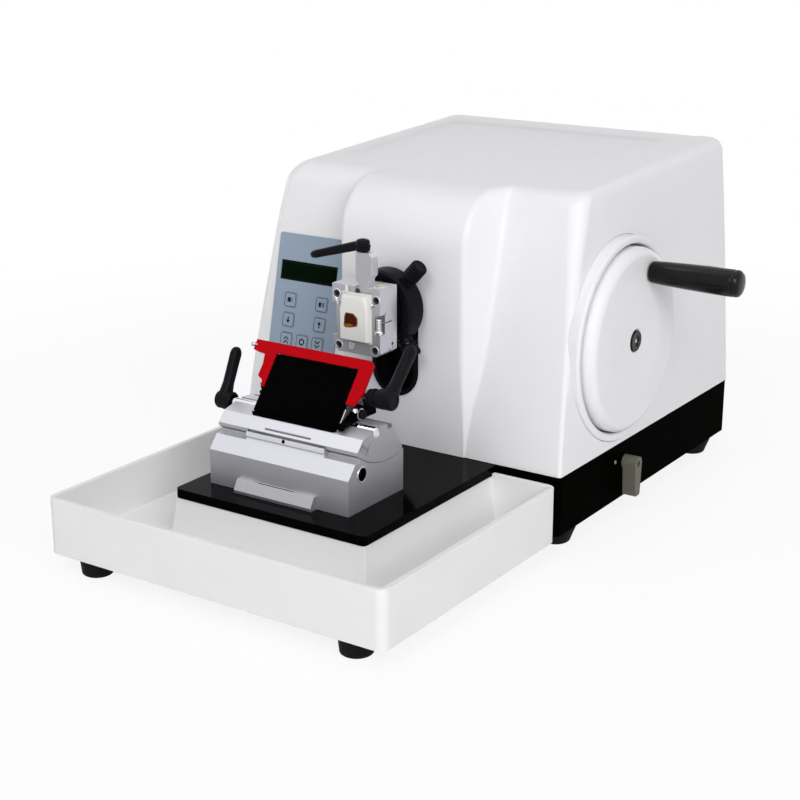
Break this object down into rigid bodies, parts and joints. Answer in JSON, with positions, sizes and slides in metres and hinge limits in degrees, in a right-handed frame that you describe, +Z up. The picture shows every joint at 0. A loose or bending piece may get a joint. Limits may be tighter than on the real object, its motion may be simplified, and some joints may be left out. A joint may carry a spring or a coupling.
{
  "type": "rotary microtome",
  "caption": "Rotary microtome with a white housing, a side handwheel, a keypad, a cassette clamp on a tilting head, a blade holder with a red finger guard, and a waste tray.",
  "frame": {"origin": "centre of the footprint on the table, under the middle of the bounding box", "axes": "+X to the operator's right (the handwheel side), +Y to the back (away from the knife), +Z up"},
  "size_m": [0.4074, 0.577, 0.2959],
  "materials": {
    "base_paint": "satin black paint",
    "steel": "brushed",
    "dark_steel": "grey casting paint",
    "rubber": "matt",
    "housing_white": "satin gloss white",
    "tray_white": "satin white",
    "black_plastic": "satin black",
    "panel_blue": "satin film",
    "display": "glossy dark window",
    "board": "solder mask",
    "lever_grey": "satin grey",
    "lining": "brake lining",
    "aluminium": "fine satin",
    "chrome": "polished",
    "cassette_plastic": "satin",
    "wax": "waxy",
    "plate_black": "black oxide",
    "guard_red": "gloss red"
  },
  "bodies": {
    "base": {"base_plinth": "base_paint", "bottom_cover": "dark_steel", "base_feet": "rubber", "base_screws": "steel", "tongue_plate": "base_paint", "housing_shell": "housing_white", "wheel_recess": "housing_white", "slot_bezel": "black_plastic", "keypad_panel": "panel_blue", "display_window": "display", "control_board": "board", "power_supply": "steel", "power_inlet": "black_plastic", "frame_casting": "dark_steel", "guide_rods": "chrome", "shaft_bearings": "steel"},
    "tray": {"waste_tray": "tray_white", "tray_feet": "rubber"},
    "lock": {"lock_lever": "lever_grey"},
    "brake": {"brake_shoe": "lining"},
    "wheel": {"crankshaft": "steel", "handwheel": "housing_white", "hub_cap": "black_plastic", "grip_spindle": "steel"},
    "grip": {"handwheel_grip": "black_plastic"},
    "roller": {"crank_roller": "steel"},
    "slide": {"slide_carriage": "aluminium", "slot_shutter": "black_plastic", "crank_yoke": "dark_steel", "feed_motor": "black_plastic"},
    "feed": {"specimen_cylinder": "chrome", "feed_screw": "steel", "head_disc": "black_plastic"},
    "tilt": {"tilt_ring": "steel"},
    "clamp": {"clamp_body": "aluminium", "clamp_screws": "steel", "specimen_cassette": "cassette_plastic", "specimen_block": "wax"},
    "tilt_knob": {"tilt_knob": "black_plastic"},
    "swivel_knob": {"swivel_knob": "black_plastic"},
    "jaw": {"clamp_jaw": "aluminium"},
    "jaw_lever": {"jaw_lever": "black_plastic"},
    "holder": {"holder_base": "aluminium", "rocker_screw": "black_plastic"},
    "rocker": {"rocker_segment": "aluminium"},
    "rod": {"clamp_rod": "chrome", "lateral_lever": "black_plastic"},
    "carrier": {"blade_carrier": "aluminium", "blade": "steel"},
    "plate": {"pressure_plate": "plate_black"},
    "guard": {"finger_guard": "guard_red"},
    "blade_lever": {"blade_lever": "black_plastic"},
    "power_rocker": {"power_rocker": "black_plastic"},
    "section_key": {"section_key": "panel_blue"},
    "trim_key": {"trim_key": "panel_blue"},
    "down_key": {"down_key": "panel_blue"},
    "up_key": {"up_key": "panel_blue"},
    "fast_up_key": {"fast_up_key": "panel_blue"},
    "home_key": {"home_key": "panel_blue"},
    "fast_down_key": {"fast_down_key": "panel_blue"}
  },
  "joints": [
    {"name": "tray_draw", "type": "slide", "parent": "base", "child": "tray", "axis": [0, -1, 0], "range_m": [0, 0.06]},
    {"name": "lock_turn", "type": "hinge", "parent": "base", "child": "lock", "pos_m": [0.10475, 0.07103, 0.0475], "axis": [1, 0, 0], "range_deg": [-90, 0]},
    {"name": "brake_lift", "type": "slide", "parent": "base", "child": "brake", "axis": [0, 0, 1], "range_m": [0, 0.00078]},
    {"name": "wheel_turn", "type": "hinge", "parent": "base", "child": "wheel", "pos_m": [-0.04525, 0.06353, 0.156], "axis": [1, 0, 0], "continuous": true},
    {"name": "grip_turn", "type": "hinge", "parent": "wheel", "child": "grip", "pos_m": [0.15475, 0.08337, 0.2105], "axis": [1, 0, 0], "continuous": true},
    {"name": "roller_turn", "type": "hinge", "parent": "wheel", "child": "roller", "pos_m": [0.01475, 0.06353, 0.184], "axis": [1, 0, 0], "continuous": true},
    {"name": "specimen_stroke", "type": "slide", "parent": "base", "child": "slide", "axis": [0, 0, 1], "range_m": [-0.056, 0]},
    {"name": "feed_advance", "type": "slide", "parent": "slide", "child": "feed", "axis": [0, -1, 0], "range_m": [0, 0.028]},
    {"name": "head_tilt", "type": "hinge", "parent": "feed", "child": "tilt", "pos_m": [-0.04325, -0.06347, 0.187], "axis": [1, 0, 0], "range_deg": [-8, 8]},
    {"name": "head_swivel", "type": "hinge", "parent": "tilt", "child": "clamp", "pos_m": [-0.04325, -0.06347, 0.187], "axis": [0, 0, 1], "range_deg": [-8, 8]},
    {"name": "tilt_knob_turn", "type": "hinge", "parent": "feed", "child": "tilt_knob", "pos_m": [-0.04325, -0.05847, 0.187], "axis": [0.6691, 0, 0.7431], "range_deg": [-180, 180]},
    {"name": "swivel_knob_turn", "type": "hinge", "parent": "feed", "child": "swivel_knob", "pos_m": [-0.04325, -0.05847, 0.187], "axis": [0.6157, 0, -0.788], "range_deg": [-180, 180]},
    {"name": "jaw_rise", "type": "slide", "parent": "clamp", "child": "jaw", "axis": [0, 0, 1], "range_m": [0, 0.002]},
    {"name": "jaw_lever_turn", "type": "hinge", "parent": "jaw", "child": "jaw_lever", "pos_m": [-0.03945, -0.09387, 0.24], "axis": [0, 0, 1], "range_deg": [0, 60]},
    {"name": "holder_slide", "type": "slide", "parent": "base", "child": "holder", "axis": [0, -1, 0], "range_m": [-0.017, 0.012]},
    {"name": "knife_angle", "type": "hinge", "parent": "holder", "child": "rocker", "pos_m": [-0.04325, -0.15047, 0.163], "axis": [1, 0, 0], "range_deg": [-5, 5]},
    {"name": "rod_turn", "type": "hinge", "parent": "rocker", "child": "rod", "pos_m": [-0.04525, -0.16607, 0.1223], "axis": [1, 0, 0], "range_deg": [0, 70]},
    {"name": "lateral_shift", "type": "slide", "parent": "rocker", "child": "carrier", "axis": [1, 0, 0], "range_m": [-0.012, 0.012]},
    {"name": "plate_fold", "type": "hinge", "parent": "carrier", "child": "plate", "pos_m": [-0.04325, -0.17834, 0.12463], "axis": [1, 0, 0], "range_deg": [0, 70]},
    {"name": "guard_fold", "type": "hinge", "parent": "plate", "child": "guard", "pos_m": [-0.04325, -0.164, 0.14312], "axis": [1, 0, 0], "range_deg": [0, 75]},
    {"name": "blade_lever_turn", "type": "hinge", "parent": "carrier", "child": "blade_lever", "pos_m": [0.00475, -0.15487, 0.1452], "axis": [1, 0, 0], "range_deg": [0, 70]},
    {"name": "section_key_press", "type": "slide", "parent": "base", "child": "section_key", "axis": [0, 0.9775, -0.2111], "range_m": [0, 0.0006], "stiffness_N_per_m": 400, "springref_m": -0.001},
    {"name": "trim_key_press", "type": "slide", "parent": "base", "child": "trim_key", "axis": [0, 0.9775, -0.2111], "range_m": [0, 0.0006], "stiffness_N_per_m": 400, "springref_m": -0.001},
    {"name": "down_key_press", "type": "slide", "parent": "base", "child": "down_key", "axis": [0, 0.9775, -0.2111], "range_m": [0, 0.0006], "stiffness_N_per_m": 400, "springref_m": -0.001},
    {"name": "up_key_press", "type": "slide", "parent": "base", "child": "up_key", "axis": [0, 0.9775, -0.2111], "range_m": [0, 0.0006], "stiffness_N_per_m": 400, "springref_m": -0.001},
    {"name": "fast_up_key_press", "type": "slide", "parent": "base", "child": "fast_up_key", "axis": [0, 0.9775, -0.2111], "range_m": [0, 0.0006], "stiffness_N_per_m": 400, "springref_m": -0.001},
    {"name": "home_key_press", "type": "slide", "parent": "base", "child": "home_key", "axis": [0, 0.9775, -0.2111], "range_m": [0, 0.0006], "stiffness_N_per_m": 400, "springref_m": -0.001},
    {"name": "fast_down_key_press", "type": "slide", "parent": "base", "child": "fast_down_key", "axis": [0, 0.9775, -0.2111], "range_m": [0, 0.0006], "stiffness_N_per_m": 400, "springref_m": -0.001},
    {"name": "power_rocker_turn", "type": "hinge", "parent": "base", "child": "power_rocker", "pos_m": [-0.06525, 0.28093, 0.04125], "axis": [1, 0, 0], "range_deg": [0, 14]}
  ],
  "couplings": [
    {"joint": "lock_turn", "follows": "brake_lift", "rad_per_m": -1950},
    {"joint": "tilt_knob_turn", "follows": "head_tilt", "ratio": 22.5},
    {"joint": "swivel_knob_turn", "follows": "head_swivel", "ratio": 22.5},
    {"joint": "jaw_lever_turn", "follows": "jaw_rise", "rad_per_m": 510}
  ]
}
